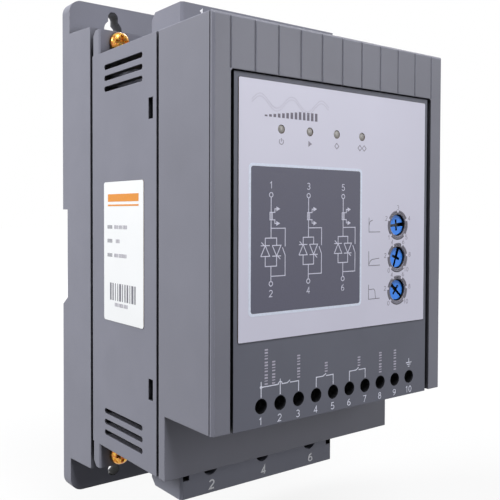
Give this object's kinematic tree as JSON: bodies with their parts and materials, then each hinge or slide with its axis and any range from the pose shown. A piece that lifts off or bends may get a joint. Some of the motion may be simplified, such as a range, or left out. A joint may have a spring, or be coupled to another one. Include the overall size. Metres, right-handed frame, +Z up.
{
  "type": "soft starter",
  "caption": "Boxy grey three-phase motor soft starter on a wall plate, with power terminals at top and bottom, a control terminal row, status lamps and setting dials.",
  "frame": {"origin": "middle of the wall plate on its back plane", "axes": "+X to the right seen from the front, +Y into the wall, +Z up"},
  "size_m": [0.1042, 0.108, 0.198],
  "materials": {
    "housing": "fine moulded texture",
    "black_plastic": "moulded",
    "overlay": "printed film",
    "sticker": "printed film",
    "yellow_zinc": "yellow passivated zinc",
    "steel": "plated",
    "aluminium": "extruded",
    "copper": "bare copper",
    "brass": "turned",
    "circuit_board": "solder resist",
    "transformer": "varnished laminations",
    "capacitor_sleeve": "shrink sleeve",
    "film_capacitor": "moulded",
    "varistor_blue": "dipped coating",
    "white_plastic": "moulded",
    "trimmer_blue": "moulded",
    "dial_blue": "moulded",
    "lamp": "diffused lens"
  },
  "bodies": {
    "housing": {"mounting_base": "housing", "main_body": "housing", "front_cover": "housing", "front_panel": "housing", "line_terminal_block": "housing", "load_terminal_block": "housing", "thyristor_module_1": "black_plastic", "thyristor_module_2": "black_plastic", "thyristor_module_3": "black_plastic", "bypass_relay_1": "black_plastic", "bypass_relay_2": "black_plastic", "bypass_relay_3": "black_plastic", "board_link": "black_plastic", "control_terminal_block": "black_plastic", "current_transformer_1": "black_plastic", "current_transformer_2": "black_plastic", "current_transformer_3": "black_plastic", "panel_overlay": "overlay", "rating_sticker": "sticker", "body_screws": "yellow_zinc", "din_clip_spring": "steel", "heat_sink_screws": "steel", "module_screws": "steel", "busbar_screws": "steel", "power_terminal_clamps": "steel", "power_terminal_screws": "steel", "power_board_screws": "steel", "control_board_screws": "steel", "control_terminal_clamps": "steel", "control_terminal_screws": "steel", "heat_sink": "aluminium", "line_busbar_1": "copper", "line_busbar_2": "copper", "line_busbar_3": "copper", "load_busbar_1": "copper", "load_busbar_2": "copper", "load_busbar_3": "copper", "power_board_spacers": "brass", "power_board": "circuit_board", "control_board": "circuit_board", "supply_transformer": "transformer", "smoothing_capacitor": "capacitor_sleeve", "snubber_capacitors": "film_capacitor", "surge_varistors": "varistor_blue", "run_relay": "white_plastic", "fault_relay": "white_plastic", "lamp_spacers": "white_plastic", "trimmer_body_1": "trimmer_blue", "trimmer_body_2": "trimmer_blue", "trimmer_body_3": "trimmer_blue", "status_lamp_1": "lamp", "status_lamp_2": "lamp", "status_lamp_3": "lamp", "status_lamp_4": "lamp"},
    "rail_clip": {"din_clip": "black_plastic"},
    "start_voltage_rotor": {"start_voltage_dial": "dial_blue"},
    "start_time_rotor": {"start_time_dial": "dial_blue"},
    "stop_time_rotor": {"stop_time_dial": "dial_blue"}
  },
  "joints": [
    {"name": "rail_clip_slide", "type": "slide", "parent": "housing", "child": "rail_clip", "axis": [0, 0, 1], "range_m": [-0.005, 0], "stiffness_N_per_m": 400, "springref_m": 0.004, "deforming": ["din_clip_spring"]},
    {"name": "start_voltage_turn", "type": "hinge", "parent": "housing", "child": "start_voltage_rotor", "pos_m": [0.0281, -0.105, 0.0099], "axis": [0, -1, 0], "range_deg": [-50, 220]},
    {"name": "start_time_turn", "type": "hinge", "parent": "housing", "child": "start_time_rotor", "pos_m": [0.0281, -0.105, -0.0017], "axis": [0, -1, 0], "range_deg": [-115, 155]},
    {"name": "stop_time_turn", "type": "hinge", "parent": "housing", "child": "stop_time_rotor", "pos_m": [0.0281, -0.105, -0.0133], "axis": [0, -1, 0], "range_deg": [-185, 85]}
  ]
}
